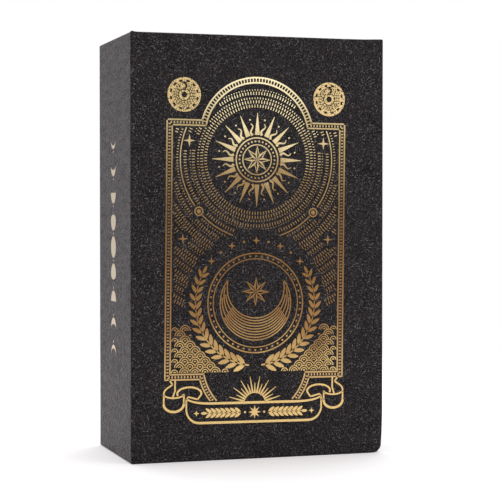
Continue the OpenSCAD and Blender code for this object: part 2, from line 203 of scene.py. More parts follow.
def fibreLayer(tree, place, cell, halfLength, halfWidth, share, shift):
    spot = addVectorMath(tree, "ADD", place, (shift, shift, 0.0))
    spot = addVectorMath(tree, "MULTIPLY", spot, (1 / cell,) * 3)
    cells = addNode(tree, "TexVoronoi", spot)
    cells.voronoi_dimensions = "2D"
    cells.inputs["Scale"].default_value = 1.0
    red, green, blue = splitVector(tree, cells.outputs["Color"])
    turned = tree.nodes.new("ShaderNodeVectorRotate")
    turned.rotation_type = "Z_AXIS"
    setInputs(tree, turned, {
        "Vector": addVectorMath(tree, "SUBTRACT", spot, cells.outputs["Position"]),
        "Angle": addMath(tree, "MULTIPLY", red, math.tau),
    })
    along, across, _ = splitVector(tree, turned.outputs[0])
    bow = addMath(tree, "SUBTRACT", green, 0.5)
    across = addMath(tree, "MULTIPLY_ADD", addMath(tree, "MULTIPLY", along, along), bow, across)
    reach = addFade(tree, along, paperLook["reachShare"] * halfLength / cell, halfLength / cell)
    body = addFade(tree, across, paperLook["bodyShare"] * halfWidth / cell, halfWidth / cell)
    there = addMath(tree, "LESS_THAN", blue, share)
    faintest = paperLook["faintest"]
    rare = addMath(tree, "POWER", green, paperLook["rarity"])
    bright = addMath(tree, "MULTIPLY_ADD", rare, 1.0 - faintest, faintest)
    return chainMath(tree, "MULTIPLY", (reach, body, there, bright))


def makeFibrePaper(name):
    look = paperLook
    material, tree, shader = startMaterial(name)
    place, _ = faceCoordinates(tree)
    fibres = chainMath(tree, "MAXIMUM", [fibreLayer(tree, place, *layer, look["fibreShift"] * index)
                                         for index, layer in enumerate(look["fibres"])])
    grain = addNoise(tree, place, look["grain"])
    shade = addPatches(tree, place, *look["shade"])
    cloud = addMath(tree, "MULTIPLY", addRange(tree, grain, *look["cloudSpan"]), shade)
    ground = addMix(tree, cloud, look["base"], look["cloud"])
    spread, onSide = faceCoordinates(tree, look["sideScale"])
    gloss = addPatches(tree, spread, *look["gloss"])
    setInputs(tree, shader, {
        "Base Color": addMix(tree, fibres, ground, look["fibre"]),
        "Roughness": addRange(tree, grain, *noiseSpan, *look["roughness"]),
        "Specular IOR Level": addMath(tree, "MULTIPLY", gloss, look["specular"]),
        **look["sheen"],
    })
    mottle = addNoise(tree, spread, *look["mottle"])
    rise = addBlend(tree, onSide, look["mottleHeight"], look["sideMottleHeight"])
    height = addMath(tree, "MULTIPLY_ADD", mottle, rise, addMath(tree, "ADD", grain, fibres))
    addBump(tree, shader, height, *look["bump"])
    return material


# gold foil: a painted highlight makes the upper part paler and painted shade makes the middle darker and
# warmer, with tiny unstamped specks

goldLook = {
    # height on the box in mm and colour there, with the painted highlight and shade in it
    "foilAndHighlightTones": [(0, (0.70, 0.50, 0.22)), (24, (0.67, 0.46, 0.185)), (42, (0.30, 0.162, 0.060)),
              (62, (0.215, 0.111, 0.037)), (86, (0.32, 0.208, 0.092)), (100, (0.64, 0.51, 0.28)),
              (106, (0.82, 0.68, 0.39)), (116, (1.0, 0.88, 0.54))],
    # the frame's colour by height: painted highlight at the top, painted shade in the middle
    "frameHighlightTones": [(26, (0.53, 0.35, 0.155)), (41, (0.31, 0.172, 0.072)), (62, (0.22, 0.12, 0.047)),
                   (78, (0.18, 0.108, 0.046)), (97, (0.375, 0.272, 0.12)), (104, (0.48, 0.37, 0.19)),
                   (116, (0.93, 0.79, 0.49))],
    "medallionTones": [(0, (0.60, 0.445, 0.215)), (130, (0.63, 0.465, 0.22))],
    # the spine's foil, paler towards its lower end
    "sideTones": [(28, (0.76, 0.59, 0.39)), (48, (0.60, 0.475, 0.325)), (70, (0.51, 0.40, 0.28)),
                  (104, (0.50, 0.405, 0.27))],
    # scale and detail of patches, and how far they take their tone from above or below
    "patches": (0.12, 3.0), "patch": 26.0, "framePatch": 8.0,
    "grain": 5.0, "speckSpan": (0.64, 0.72), "speck": (0.05, 0.035, 0.02),
    # fine marks of the medallions: scale and detail, where they start and are full, how dark they are
    "marks": (2.1, 1.0), "markSpan": (0.53, 0.63), "markDepth": 0.85,
    "roughness": (0.24, 0.40),
    "bump": (0.5, 0.000015),
}


def makeGoldFoil(name, toneKey, patchKey="patch", engraved=False):
    look = goldLook
    material, tree, shader = startMaterial(name)
    place = objectPlace(tree)
    _, _, height = splitVector(tree, place)
    # a ramp by height gives the colour, and with it the painted highlight and shade
    ramp = tree.nodes.new("ShaderNodeValToRGB")
    foilAndHighlightTones = ramp.color_ramp.elements
    while len(foilAndHighlightTones) < len(look[toneKey]):
        foilAndHighlightTones.new(0.5)
    for tone, (level, colour) in zip(foilAndHighlightTones, look[toneKey]):
        tone.position = level / boxH
        tone.color = (*colour, 1.0)
    patches = addMath(tree, "SUBTRACT", addNoise(tree, place, *look["patches"]), 0.5)
    level = addMath(tree, "MULTIPLY_ADD", patches, look[patchKey], height)
    setInput(tree, ramp.inputs["Fac"], addMath(tree, "DIVIDE", level, boxH))
    fine = addNoise(tree, place, look["grain"])
    specks = addRange(tree, fine, *look["speckSpan"])
    if engraved:
        marks = addNoise(tree, place, *look["marks"])
        marks = addRange(tree, marks, *look["markSpan"], 0.0, look["markDepth"])
        specks = addMath(tree, "MAXIMUM", specks, marks)
    setInputs(tree, shader, {
        "Base Color": addMix(tree, specks, ramp.outputs["Color"], look["speck"]),
        "Roughness": addRange(tree, fine, *noiseSpan, *look["roughness"]),
        "Metallic": 1.0,
    })
    addBump(tree, shader, fine, *look["bump"])
    return material


# plainer stocks inside the box: a ground, a second tone laid over it by noise, and a little tooth

stockLooks = {
    # ground, second tone, scale of the noise, roughness, height of the tooth in metres
    "greyBoard": ((0.30, 0.29, 0.27), (0.42, 0.40, 0.37), 1.6, 0.85, 0.00004),
    "kraftStay": ((0.42, 0.29, 0.16), (0.56, 0.41, 0.25), 0.9, 0.75, 0.00002),
    "liningPaper": ((0.014, 0.013, 0.014), (0.030, 0.028, 0.029), 1.2, 0.7, 0.00002),
    "coverStock": ((0.012, 0.011, 0.012), (0.022, 0.020, 0.021), 0.5, 0.42, 0.00001),
    "pagePaper": ((0.74, 0.69, 0.57), (0.84, 0.80, 0.69), 0.7, 0.8, 0.00002),
}
stockGrain = {"detail": 4.0, "span": (0.35, 0.65), "bump": 0.5}


def makeStock(name):
    ground, tone, scale, roughness, tooth = stockLooks[name]
    material, tree, shader = startMaterial(name, roughness)
    grain = addNoise(tree, objectPlace(tree), scale, stockGrain["detail"])
    share = addRange(tree, grain, *stockGrain["span"])
    setInput(tree, shader.inputs["Base Color"], addMix(tree, share, ground, tone))
    addBump(tree, shader, grain, stockGrain["bump"], tooth)
    return material


wireLook = {
    "bright": (0.68, 0.68, 0.69), "dull": (0.48, 0.48, 0.50), "roughness": (0.2, 0.4),
    "drawn": (9.0, 9.0, 0.6),   # marks of drawing are finer across the wire than along it
}


def makeStapleWire(name):
    look = wireLook
    material, tree, shader = startMaterial(name)
    drawn = addNoise(tree, addVectorMath(tree, "MULTIPLY", objectPlace(tree), look["drawn"]), 1.0)
    setInputs(tree, shader, {
        "Base Color": addMix(tree, drawn, look["bright"], look["dull"]),
        "Roughness": addRange(tree, drawn, *noiseSpan, *look["roughness"]),
        "Metallic": 1.0,
    })
    return material


# card print: black coated stock with gilt edges, gold borders and a turned rosette

cardLook = {
    "ground": (0.012, 0.011, 0.011),
    "tone": (0.020, 0.018, 0.018),
    "gold": (0.78, 0.54, 0.22),
    "borders": [(2.6, 0.28), (3.6, 0.14), (6.2, 0.14)],           # distance from the card's edge, half width
    "rosette": 21.0, "swell": 0.10, "line": 0.2, "spoke": 0.03,   # radius, swell of petals, half widths
    "spokeFade": 0.95, "edgeFacing": 0.5,   # share of the radius, and how far an edge may face the front
    "roughness": 0.34,
    "grain": (1.5, 3.0),
    "bump": (0.3, 0.00001),
}


def inkLine(tree, value, centre, halfWidth, soft=0.3):
    # 1 on a printed line of that half width, 0 beside it
    away = addMath(tree, "SUBTRACT", value, centre)
    return addFade(tree, away, (1 - soft) * halfWidth, (1 + soft) * halfWidth)


def makeCardPrint(node, petals, rings):
    look = cardLook
    material, tree, shader = startMaterial(node, look["roughness"])
    low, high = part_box(node)
    middle = (low + high) / (2 * mm)
    half = (high - low) / (2 * mm)
    x, _, z = splitVector(tree, addVectorMath(tree, "SUBTRACT", objectPlace(tree), tuple(middle)))
    fromEdge = addMath(tree, "MINIMUM", *[addMath(tree, "SUBTRACT", limit, addMath(tree, "ABSOLUTE", place))
                                          for limit, place in ((half.x, x), (half.z, z))])
    lines = [inkLine(tree, fromEdge, *border) for border in look["borders"]]
    radius = addVectorMath(tree, "LENGTH", joinVector(tree, x, z))
    angle = addMath(tree, "ARCTAN2", z, x)
    wave = addMath(tree, "COSINE", addMath(tree, "MULTIPLY", angle, float(petals)))
    for step in range(rings):
        size = look["rosette"] * (step + 1) / rings
        swell = size * look["swell"] * (1 if step % 2 else -1)
        lines.append(inkLine(tree, radius, addMath(tree, "MULTIPLY_ADD", wave, swell, size), look["line"]))
    inRosette = addFade(tree, radius, look["rosette"] * look["spokeFade"], look["rosette"])
    lines.append(addMath(tree, "MULTIPLY", inkLine(tree, wave, 1.0, look["spoke"]), inRosette))
    _, ny, _ = splitVector(tree, objectNormal(tree))
    gilt = addMath(tree, "LESS_THAN", addMath(tree, "ABSOLUTE", ny), look["edgeFacing"])
    ink = chainMath(tree, "MAXIMUM", lines + [gilt])
    grain = addNoise(tree, objectPlace(tree), *look["grain"])
    ground = addMix(tree, grain, look["ground"], look["tone"])
    setInputs(tree, shader, {"Base Color": addMix(tree, ink, ground, look["gold"]), "Metallic": ink})
    addBump(tree, shader, addMath(tree, "ADD", grain, ink), *look["bump"])
    return material


fibrePaper = makeFibrePaper("fibrePaper")
goldFoil = makeGoldFoil("goldFoil", "foilAndHighlightTones")
frameFoil = makeGoldFoil("frameFoil", "frameHighlightTones", "framePatch")
medallionFoil = makeGoldFoil("medallionFoil", "medallionTones", engraved=True)
sideFoil = makeGoldFoil("sideFoil", "sideTones")
stocks = {name: makeStock(name) for name in stockLooks}
stapleWire = makeStapleWire("stapleWire")
print("materials made")


# pieces: a bmesh becomes an object that rides on a body

def linkObject(name, data):
    thing = bpy.data.objects.new(name, data)
    bpy.context.scene.collection.objects.link(thing)
    return thing


def linkMesh(name, bm, material):
    mesh = bpy.data.meshes.new(name)
    bm.to_mesh(mesh)
    bm.free()
    mesh.materials.append(material)
    return linkObject(name, mesh)


def makePiece(name, bm, material, body, replaced, sharpAngle=30.0):
    for edge in bm.edges:
        edge.smooth = edge.calc_face_angle(math.pi) < math.radians(sharpAngle)
    for face in bm.faces:
        face.smooth = True
    piece = linkMesh(name, bm, material)
    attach(piece, body)
    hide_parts(*replaced)
    print(f"piece {name}: {len(piece.data.polygons)} faces")


def dressNode(node, material):
    mesh = cadNodes[node].data
    mesh.materials.clear()
    mesh.materials.append(material)


# lid: covering paper folded over the board, turned in at the rim, with one corner knocked in

lidShape = {
    "edgeRadius": 0.5,
    "edgeSteps": 4,
    "paper": 0.2,
    "wall": 2.02,
    "turnIn": 15.0,
    "grid": 6.5,          # spacing of the cuts that let the sheet bend
    "fineGrid": 0.3,      # the same near the knocked corner
    "fineReach": 4.5,
    "innerCuts": (0.9, 1.8, 3.15, 4.5),   # cuts from that corner in the layers under the paper
    "cutGap": 1e-7, "weldGap": 1e-6,      # in metres
}
knock = {
    "radius": 2.5, "depth": 9.0,   # the corner's round at the front, and how deep it fades out
    "reach": (3.0, 9.0, 6.0),      # how far the dent spreads along x, y and z
    "push": (-0.35, 0.35, 0.1),    # how far it moves the corner
}
# folds of paper that stand up at the upper corners
ear = {"reach": (1.1, 1.1, 1.4), "push": (0.1, -0.05, 0.34), "cuts": (1.0, 1.8, 2.8)}
farEar = {"reach": (5.0, 1.6, 1.6), "push": (0.0, 0.0, 0.28)}


def roundCorner(vert, corner):
    # squares round the corner's centre become circles, so that layers stay nested
    radius = knock["radius"] * mm * math.exp(-((vert.co.y - corner.y) / (knock["depth"] * mm)) ** 2)
    side = vert.co.x - (corner.x - radius)
    down = corner.z + radius - vert.co.z
    if side > 0 and down > 0:
        pull = max(side, down) / math.hypot(side, down)
        vert.co.x += side * (pull - 1)
        vert.co.z -= down * (pull - 1)


def pushCorner(vert, corner, look):
    away = [(vert.co[i] - corner[i]) / (look["reach"][i] * mm) for i in range(3)]
    vert.co += Vector(look["push"]) * mm * math.exp(-sum(a * a for a in away))


def knockCorners(bm):
    knocked = Vector((lidHigh.x, lidLow.y, lidLow.z))
    raised = Vector((lidLow.x, lidLow.y, lidHigh.z))
    farRaised = Vector((lidHigh.x, lidLow.y, lidHigh.z))
    for vert in bm.verts:
        roundCorner(vert, knocked)
        pushCorner(vert, knocked, knock)
        pushCorner(vert, raised, ear)
        pushCorner(vert, farRaised, farEar)


def cutGrid(bm, axis, places):
    normal = Vector((0, 0, 0))
    normal[axis] = 1
    for place in places:
        bmesh.ops.bisect_plane(bm, geom=bm.verts[:] + bm.edges[:] + bm.faces[:], dist=lidShape["cutGap"],
                               plane_co=normal * place, plane_no=normal)


def gridPlaces(low, high, fineAtLow):
    # even cuts, and fine ones from the knocked end
    shape = lidShape
    count = round((high - low) / (shape["grid"] * mm))
    start, way = (low, mm) if fineAtLow else (high, -mm)
    fine = range(1, int(shape["fineReach"] / shape["fineGrid"]))
    return ([low + (high - low) * i / count for i in range(1, count)]
            + [start + way * (shape["edgeRadius"] + shape["fineGrid"] * i) for i in fine])


def makeLidWrap():
    shape = lidShape
    bm = bmesh.new()
    bmesh.ops.create_cube(bm, size=1.0, matrix=Matrix.Translation((lidLow + lidHigh) / 2)
                          @ Matrix.Diagonal((*boxSize, 1.0)))
    bm.normal_update()
    outer = [e for e in bm.edges if any(v.co.y < 0 for v in e.verts)]
    back = [f for f in bm.faces if f.normal.y > 0.9]
    bmesh.ops.inset_region(bm, faces=back, thickness=shape["wall"] * mm, use_even_offset=True)
    turned = bmesh.ops.extrude_discrete_faces(bm, faces=back)["faces"]
    bmesh.ops.translate(bm, verts=turned[0].verts, vec=(0, -shape["turnIn"] * mm, 0))
    bmesh.ops.delete(bm, geom=turned, context="FACES_ONLY")
    bmesh.ops.bevel(bm, geom=outer, offset=shape["edgeRadius"] * mm, offset_type="OFFSET",
                    segments=shape["edgeSteps"], profile=0.5, affect="EDGES", material=-1)
    bmesh.ops.solidify(bm, geom=bm.faces[:], thickness=shape["paper"] * mm)
    earCuts = [c * mm for c in ear["cuts"]]
    cutGrid(bm, 0, gridPlaces(lidLow.x, lidHigh.x, fineAtLow=False) + [lidLow.x + c for c in earCuts])
    cutGrid(bm, 1, gridPlaces(lidLow.y, lidHigh.y, fineAtLow=True))
    cutGrid(bm, 2, gridPlaces(lidLow.z, lidHigh.z, fineAtLow=True) + [lidHigh.z - c for c in earCuts])
    knockCorners(bm)
    makePiece("lidWrap", bm, fibrePaper, "lid", ["lid_wrap"])


def makeKnockedCopy(name, node, material):
    # the layers under the paper give way at the same corner
    bm = bmesh.new()
    bm.from_mesh(cadNodes[node].data)
    bmesh.ops.remove_doubles(bm, verts=bm.verts[:], dist=lidShape["weldGap"])
    for axis, (edge, way) in enumerate(((lidHigh.x, -mm), (lidLow.y, mm), (lidLow.z, mm))):
        cutGrid(bm, axis, [edge + way * cut for cut in lidShape["innerCuts"]])
    knockCorners(bm)
    makePiece(name, bm, material, "lid", [node])


makeLidWrap()
makeKnockedCopy("lidBoard", "lid_board", stocks["greyBoard"])
makeKnockedCopy("lidCornerStays", "lid_corner_stays", stocks["kraftStay"])
makeKnockedCopy("lidLining", "lid_lining", stocks["liningPaper"])
print("lid made")


# foil print: drawn flat in millimetres, x across and y up from the box's lower end, then laid on its face

def arcPath(centre, radiusX, radiusY, start, sweep, chord=0.7):
    steps = max(3, math.ceil(abs(math.radians(sweep)) * max(radiusX, radiusY) / chord))
    angles = [math.radians(start + sweep * i / steps) for i in range(steps + 1)]
    return [Vector((centre[0] + radiusX * math.cos(a), centre[1] + radiusY * math.sin(a))) for a in angles]


def polar(centre, radius, angle):
    return Vector(centre) + Vector((math.cos(math.radians(angle)), math.sin(math.radians(angle)))) * radius


def bendPath(start, pullA, pullB, end, steps=12):
    # a smooth bend from start to end, drawn towards the two pull points on its way
    points = [Vector(p) for p in (start, pullA, pullB, end)]
    path = []
    for i in range(steps + 1):
        t = i / steps
        weights = ((1 - t) ** 3, 3 * t * (1 - t) ** 2, 3 * t * t * (1 - t), t ** 3)
        path.append(sum((p * w for p, w in zip(points, weights)), Vector((0, 0))))
    return path


def drawStroke(bm, path, width, endWidth=None):
    # a strip of foil along a path, of even width or tapering to endWidth
    path = [Vector(p) for p in path]
    last = len(path) - 1
    strip = bmesh.ops.create_grid(bm, x_segments=last, y_segments=1, size=0.5)["verts"]
    for vert in strip:
        index = round((vert.co.x + 0.5) * last)
        ahead = path[min(index + 1, last)] - path[max(index - 1, 0)]
        aside = Vector((-ahead.y, ahead.x)).normalized()
        share = index / last
        half = (width if endWidth is None else width + (endWidth - width) * share) / 2
        spot = path[index] + aside * half * (1 if vert.co.y > 0 else -1)
        vert.co = (spot.x, spot.y, 0)


def drawRing(bm, centre, radius, width):
    rim = drawDisc(bm, centre, radius + width / 2, ringSides(radius))
    face = rim[0].link_faces[0]
    bmesh.ops.inset_region(bm, faces=[face], thickness=width, use_even_offset=True, use_boundary=True)
    bmesh.ops.delete(bm, geom=[face], context="FACES")


beadSides, dotSides = 6, 8
fewestSides, mostSides, sidesPerRadius = 10, 72, 8   # of larger discs and rings


def ringSides(radius):
    return max(fewestSides, min(mostSides, round(radius * sidesPerRadius)))


def drawDisc(bm, centre, radius, sides=None):
    return bmesh.ops.create_circle(bm, cap_ends=True, radius=radius, segments=sides or ringSides(radius),
                                   matrix=Matrix.Translation((*centre, 0)))["verts"]


def drawBeadRing(bm, centre, radius, count, size):
    for i in range(count):
        drawDisc(bm, polar(centre, radius, i * 360 / count), size, beadSides)


def drawStar(bm, centre, outer, inner, tips):
    made = drawDisc(bm, (0, 0), outer, 2 * tips)
    for index, vert in enumerate(made):
        if index % 2:
            vert.co *= inner / outer
    placeVerts(bm, made, centre)


def drawLeaf(bm, foot, length, width, turn, sides=10, pinch=0.65):
    # a pointed leaf that grows from its foot along the turn's direction
    made = drawDisc(bm, (0, 0), 0.5, sides)
    for vert in made:
        breadth = 1 - pinch + pinch * abs(vert.co.x) / 0.5
        vert.co = ((vert.co.y + 0.5) * length, vert.co.x * width * breadth, 0)
    placeVerts(bm, made, foot, turn)


def drawMoonPhase(bm, centre, radius, bulge, turn, sides=40):
    # a disc whose half on the turn's side is squeezed: 1 leaves it full, 0 makes it half, less a crescent
    made = drawDisc(bm, (0, 0), radius, sides)
    for vert in made:
        if vert.co.x > 0:
            vert.co.x *= bulge
    placeVerts(bm, made, centre, turn)


def placeVerts(bm, verts, spot, turn=0.0):
    bmesh.ops.transform(bm, verts=verts, matrix=Matrix.Translation((*spot, 0))
                        @ Matrix.Rotation(math.radians(turn), 4, "Z"))


printPlace = {"shift": -1.25, "turn": -0.6, "sideMiddle": 19.7}
upright = Matrix.Rotation(math.pi / 2, 4, "X") @ Matrix.Scale(mm, 4)
frontMatrix = (Matrix.Translation((0, lidLow.y, 0)) @ upright
               @ Matrix.Translation((printPlace["shift"], boxH / 2, 0))
               @ Matrix.Rotation(math.radians(printPlace["turn"]), 4, "Z")
               @ Matrix.Translation((0, -boxH / 2, 0)))
# drawn x runs from the back to the front of the left side
sideMatrix = (Matrix.Translation((lidLow.x, 0, 0)) @ Matrix.Rotation(-math.pi / 2, 4, "Z") @ upright
              @ Matrix.Translation((printPlace["sideMiddle"] - boxD / 2, boxH / 2, 0)))


def stampFoil(name, node, draws, material=goldFoil, matrix=frontMatrix):
    bm = bmesh.new()
    for draw in draws:
        draw(bm)
    bm.normal_update()
    bmesh.ops.reverse_faces(bm, faces=[f for f in bm.faces if f.normal.z < 0])
    bmesh.ops.translate(bm, verts=bm.verts[:], vec=(0, 0, foilDepth))
    bmesh.ops.solidify(bm, geom=bm.faces[:], thickness=foilDepth)
    bmesh.ops.transform(bm, verts=bm.verts[:], matrix=matrix)
    makePiece(name, bm, material, "lid", [node])


frameDraw = {
    "sideMargin": 11.9, "topMargin": 26.1, "foot": 24.6,
    "archRadius": 18.5, "archDrop": 5.0,
    "border": 2.05, "rule": 0.46, "archRule": 0.48,
    # beads between the rules, whole rungs on the arch
    "beadPitch": 0.967, "beadLength": 0.70, "beadWidth": 0.42, "archRungWidth": 0.30,
    "bannerHead": 18.2,
}
frameHalf = boxW / 2 - frameDraw["sideMargin"]
frameHead = boxH - frameDraw["topMargin"]
frameFoot = frameDraw["foot"]
borderWidth = frameDraw["border"]
archTop = frameHead - frameDraw["archDrop"]
archFoot = frameFoot + frameDraw["archDrop"]


def frameLines(inset):
    # the outline at that inset: the upper arch, then each side with its shoulders and lower arch
    half, head, foot = frameHalf - inset, frameHead - inset, frameFoot + inset
    radius = frameDraw["archRadius"] - inset
    drop = frameDraw["archDrop"] - inset
    chord = math.sqrt(radius ** 2 - drop ** 2)
    meet = math.degrees(math.atan2(drop, chord))
    hidden = math.degrees(math.asin((archFoot - frameDraw["bannerHead"]) / radius))
    lines = [arcPath((0, archTop), radius, radius, meet, 180 - 2 * meet)]
    for side in (-1, 1):
        lines.append([(side * half, foot), (side * half, head)])
        lines += [[(side * half, level), (side * chord, level)] for level in (head, foot)]
        start, sweep = (-meet, meet - hidden) if side > 0 else (180 + meet, hidden - meet)
        lines.append(arcPath((0, archFoot), radius, radius, start, sweep))
    return lines


def walkPath(path, pitch):
    # points and directions at even steps along a path
    path = [Vector(p) for p in path]
    lengths = [(b - a).length for a, b in zip(path, path[1:])]
    count = max(1, round(sum(lengths) / pitch))
    step = sum(lengths) / count
    spots, covered, segment = [], 0.0, 0
    for i in range(count):
        target = (i + 0.5) * step
        while covered + lengths[segment] < target:
            covered += lengths[segment]
            segment += 1
        direction = (path[segment + 1] - path[segment]).normalized()
        spots.append((path[segment] + direction * (target - covered), direction))
    return spots


def stretchEnds(path, extra):
    # a straight line made longer at both ends, so that corners close
    start, end = Vector(path[0]), Vector(path[-1])
    ahead = (end - start).normalized() * extra
    return [start - ahead, end + ahead]


def drawFrame(bm):
    # the arch, first of the lines, has bolder rules
    rungLength = borderWidth - 2 * frameDraw["archRule"]
    for rule, length, width, part in (
            (frameDraw["archRule"], rungLength, frameDraw["archRungWidth"], slice(0, 1)),
            (frameDraw["rule"], frameDraw["beadLength"], frameDraw["beadWidth"], slice(1, None))):
        for inset in (rule / 2, borderWidth - rule / 2):
            for path in frameLines(inset)[part]:
                drawStroke(bm, stretchEnds(path, rule / 2) if len(path) == 2 else path, rule)
        for path in frameLines(borderWidth / 2)[part]:
            for spot, direction in walkPath(path, frameDraw["beadPitch"]):
                aside = Vector((-direction.y, direction.x)) * length / 2
                drawStroke(bm, [spot - aside, spot + aside], width)


stampFoil("foilFrame", "foil_frame", [drawFrame], frameFoil)

medallionDraw = {
    "radius": 5.25, "inset": 5.5, "rise": 7.35,
    "rim": 0.66, "slots": 12, "slotRadius": 4.26, "slotHeight": 0.66, "slot": 0.55,
    "hub": 0.95, "hubWidth": 0.8,
    "ring": (3.78, 0.34),
    # radius, width and count of the dashes in each broken ring, from that ring inwards
    "dashes": [(3.34, 0.42, 25), (2.80, 0.46, 19), (2.22, 0.46, 14)], "dash": 0.74,
    "moonRise": 2.6, "moonRoom": 1.05, "moonRim": 0.36, "moon": 0.70, "moonSides": 16,
}


def drawDashedRing(bm, centre, radius, width, dashes, share, keepOff=None):
    # dashes along a circle, a dash at angle 0; those within keepOff's place and room are left out
    for i in range(dashes):
        start, sweep = (i - share / 2) * 360 / dashes, share * 360 / dashes
        middle = polar(centre, radius, start + sweep / 2)
        if keepOff is None or (middle - keepOff[0]).length > keepOff[1]:
            drawStroke(bm, arcPath(centre, radius, radius, start, sweep), width)


def drawMedallions(bm):
    d = medallionDraw
    for side in (-1, 1):
        centre = (side * (frameHalf - d["inset"]), frameHead + d["rise"])
        moon = polar(centre, d["moonRise"], 90)
        drawRing(bm, centre, d["radius"] - d["rim"] / 2, d["rim"])
        drawDashedRing(bm, centre, d["slotRadius"], d["slotHeight"], d["slots"], d["slot"])
        drawRing(bm, centre, *d["ring"])
        for dashes in d["dashes"]:
            drawDashedRing(bm, centre, *dashes, d["dash"], (moon, d["moonRoom"] + d["moonRim"]))
        drawRing(bm, centre, d["hub"] + d["hubWidth"] / 2, d["hubWidth"])
        # a moon set off to one side of its ring
        drawRing(bm, moon, d["moonRoom"] + d["moonRim"] / 2, d["moonRim"])
        drawDisc(bm, moon - Vector((d["moonRoom"] - d["moon"], 0)), d["moon"], d["moonSides"])


stampFoil("foilMedallions", "foil_medallions", [drawMedallions], medallionFoil)

bannerDraw = {
    "half": 21.8, "foot": 11.5, "middleHead": 17.4, "endHead": 18.9,
    "cornerRadius": 4.2, "bends": (2.5, 6, 10),   # the upper edge's bends, from the panel's end
    "thin": 0.5, "thick": 0.75, "loopLine": 0.575,
    "loop": ((20.9, 20.6), 3.8, 1.9, -20, 220),   # middle, half width, rise, first angle and sweep
    "folds": [[(17.328, 19.954), (18.328, 18.7)], [(18.328, 18.795), (21.2, 19.555), (21.8, 18.9)]],
    "rollMiddle": 25.75, "rollHalf": 3.15, "rollHead": 20.5, "rollFoot": 17.5,
    "rollDip": 1.2, "rollDrop": 2.4, "rollLap": 0.3,
    # the tail's lines, from the middle of the roll's head
    "twist": [(3.15, 0), (3.15, 1.6), (1.6, 2.0), (0.45, 2.9)],
    "tails": [[(0.45, 2.9), (1.9, 5.0)], [(-0.35, 4.1), (-0.35, 1.0), (0.3, -0.9)]],
}


def drawRibbonEnd(bm, side):
    d = bannerDraw
    thin, thick = d["thin"], d["thick"]
    end, foot, corner, head = d["half"], d["foot"], d["cornerRadius"], d["middleHead"]
    roll, rollHalf, rollHead, rollFoot = d["rollMiddle"], d["rollHalf"], d["rollHead"], d["rollFoot"]
    lap = rollFoot + d["rollLap"]
    bends = [(end - bend, head) for bend in d["bends"]]
    strokes = [
        # panel's end, lower corner and lower edge, and the upper edge, which rises towards its end
        ([(end, d["endHead"]), (end, foot + corner)], thin),
        (arcPath((end - corner, foot + corner), corner, corner, 0, -90), thin, thick),
        ([(end - corner, foot), (0, foot)], thick),
        (bendPath((end, d["endHead"]), *bends), thin, thick),
        ([bends[-1], (0, head)], thick),
        # ribbon folds back over the panel in an open loop
        (arcPath(*d["loop"]), d["loopLine"]),
    ]
    strokes += [(path, thin) for path in d["folds"]]
    # rolled end beside the panel
    for edge in (roll - rollHalf, roll + rollHalf):
        strokes.append(([(edge, rollHead - d["rollLap"]), (edge, rollFoot)], thin))
    strokes.append((arcPath((roll, rollFoot), rollHalf, d["rollDrop"], 180, 180), thick))
    strokes.append((arcPath((roll, rollHead), rollHalf, d["rollDip"], 180, 180), thin))
    strokes.append(([(roll - rollHalf, lap), (end, lap)], thin))
    # narrow tail that twists up behind the frame's corner
    for path in (bendPath(*d["twist"]), *d["tails"]):
        strokes.append(([(roll + p[0], rollHead + p[1]) for p in path], thin))
    for path, *widths in strokes:
        drawStroke(bm, [(side * p[0], p[1]) for p in path], *widths)


flourishDraw = {
    "star": (2.1, 0.84, 8), "dot": 0.36, "dotPlace": 3.1,
    "sprigFrom": 4.4, "sprigTo": 15.2, "stem": (0.36, 0.2),
    "leaves": 7, "leafLength": 2.5, "leafWidth": 0.95, "lean": 36, "endLeaf": 2.0,
    "endStar": (0.95, 0.35, 4), "endStarPlace": 18.6,
}


def drawFlourish(bm):
    # plain ornament on the panel: a star between two leafy sprigs
    d = flourishDraw
    level = (bannerDraw["foot"] + bannerDraw["middleHead"]) / 2
    drawStar(bm, (0, level), *d["star"])
    for side in (-1, 1):
        along = 0 if side > 0 else 180
        drawDisc(bm, (side * d["dotPlace"], level), d["dot"], dotSides)
        drawStroke(bm, [(side * d["sprigFrom"], level), (side * d["sprigTo"], level)], *d["stem"])
        for i in range(d["leaves"]):
            x = d["sprigFrom"] + (d["sprigTo"] - d["sprigFrom"]) * i / d["leaves"]
            for lean in (-d["lean"], d["lean"]):
                drawLeaf(bm, (side * x, level), d["leafLength"], d["leafWidth"], along + lean)
        drawLeaf(bm, (side * d["sprigTo"], level), d["endLeaf"], d["leafWidth"], along)
        drawStar(bm, (side * d["endStarPlace"], level), *d["endStar"])


def drawBanner(bm):
    for side in (-1, 1):
        drawRibbonEnd(bm, side)
    drawFlourish(bm)


stampFoil("foilBanner", "foil_banner", [drawBanner])

sunDraw = {
    "centre": (0, 92.0), "disc": 4.6, "discLine": 0.36, "ring": 6.7, "ringLine": 0.42,
    "beads": 30, "bead": 0.32, "star": (4.14, 1.748, 8),
    "rays": 16, "rayFoot": 7.6, "rayTip": 14.4, "ray": (1.6, 0.12),
    "flameTip": 11.2, "flame": (0.8, 0.2), "flameSway": 3.2, "flameSteps": 8,
    "dotPlace": 12.4, "dot": 0.3,
}
moonDraw = {
    "centre": (0, 48.0), "radius": 11.4, "shift": 4.6, "bite": 9.2, "lines": 9, "line": 0.36, "lineSteps": 48,
    "lineRoom": 0.612,   # a line stops where the next one comes nearer than this
    "star": (4.3, 1.634, 8), "starRise": 3.5,
    "ring": 15.3, "ringGap": 1.7, "ringLines": (0.4, 0.3), "beads": 48, "bead": 0.34,
    # dots and small stars that close the wreath at the top, from this angle on
    "crownFrom": 42, "crownStep": 12, "crown": 9, "crownDot": 0.4, "crownStar": (1.25, 0.42, 4),
}
wreathDraw = {
    "radius": 19.2, "from": -84.0, "to": 28.0, "stem": (0.5, 0.25), "stemStep": 4, "room": 2.8,
    "leaves": 15, "leafLength": 4.3, "leafWidth": 1.5, "lean": 38, "shrink": 0.35,
}
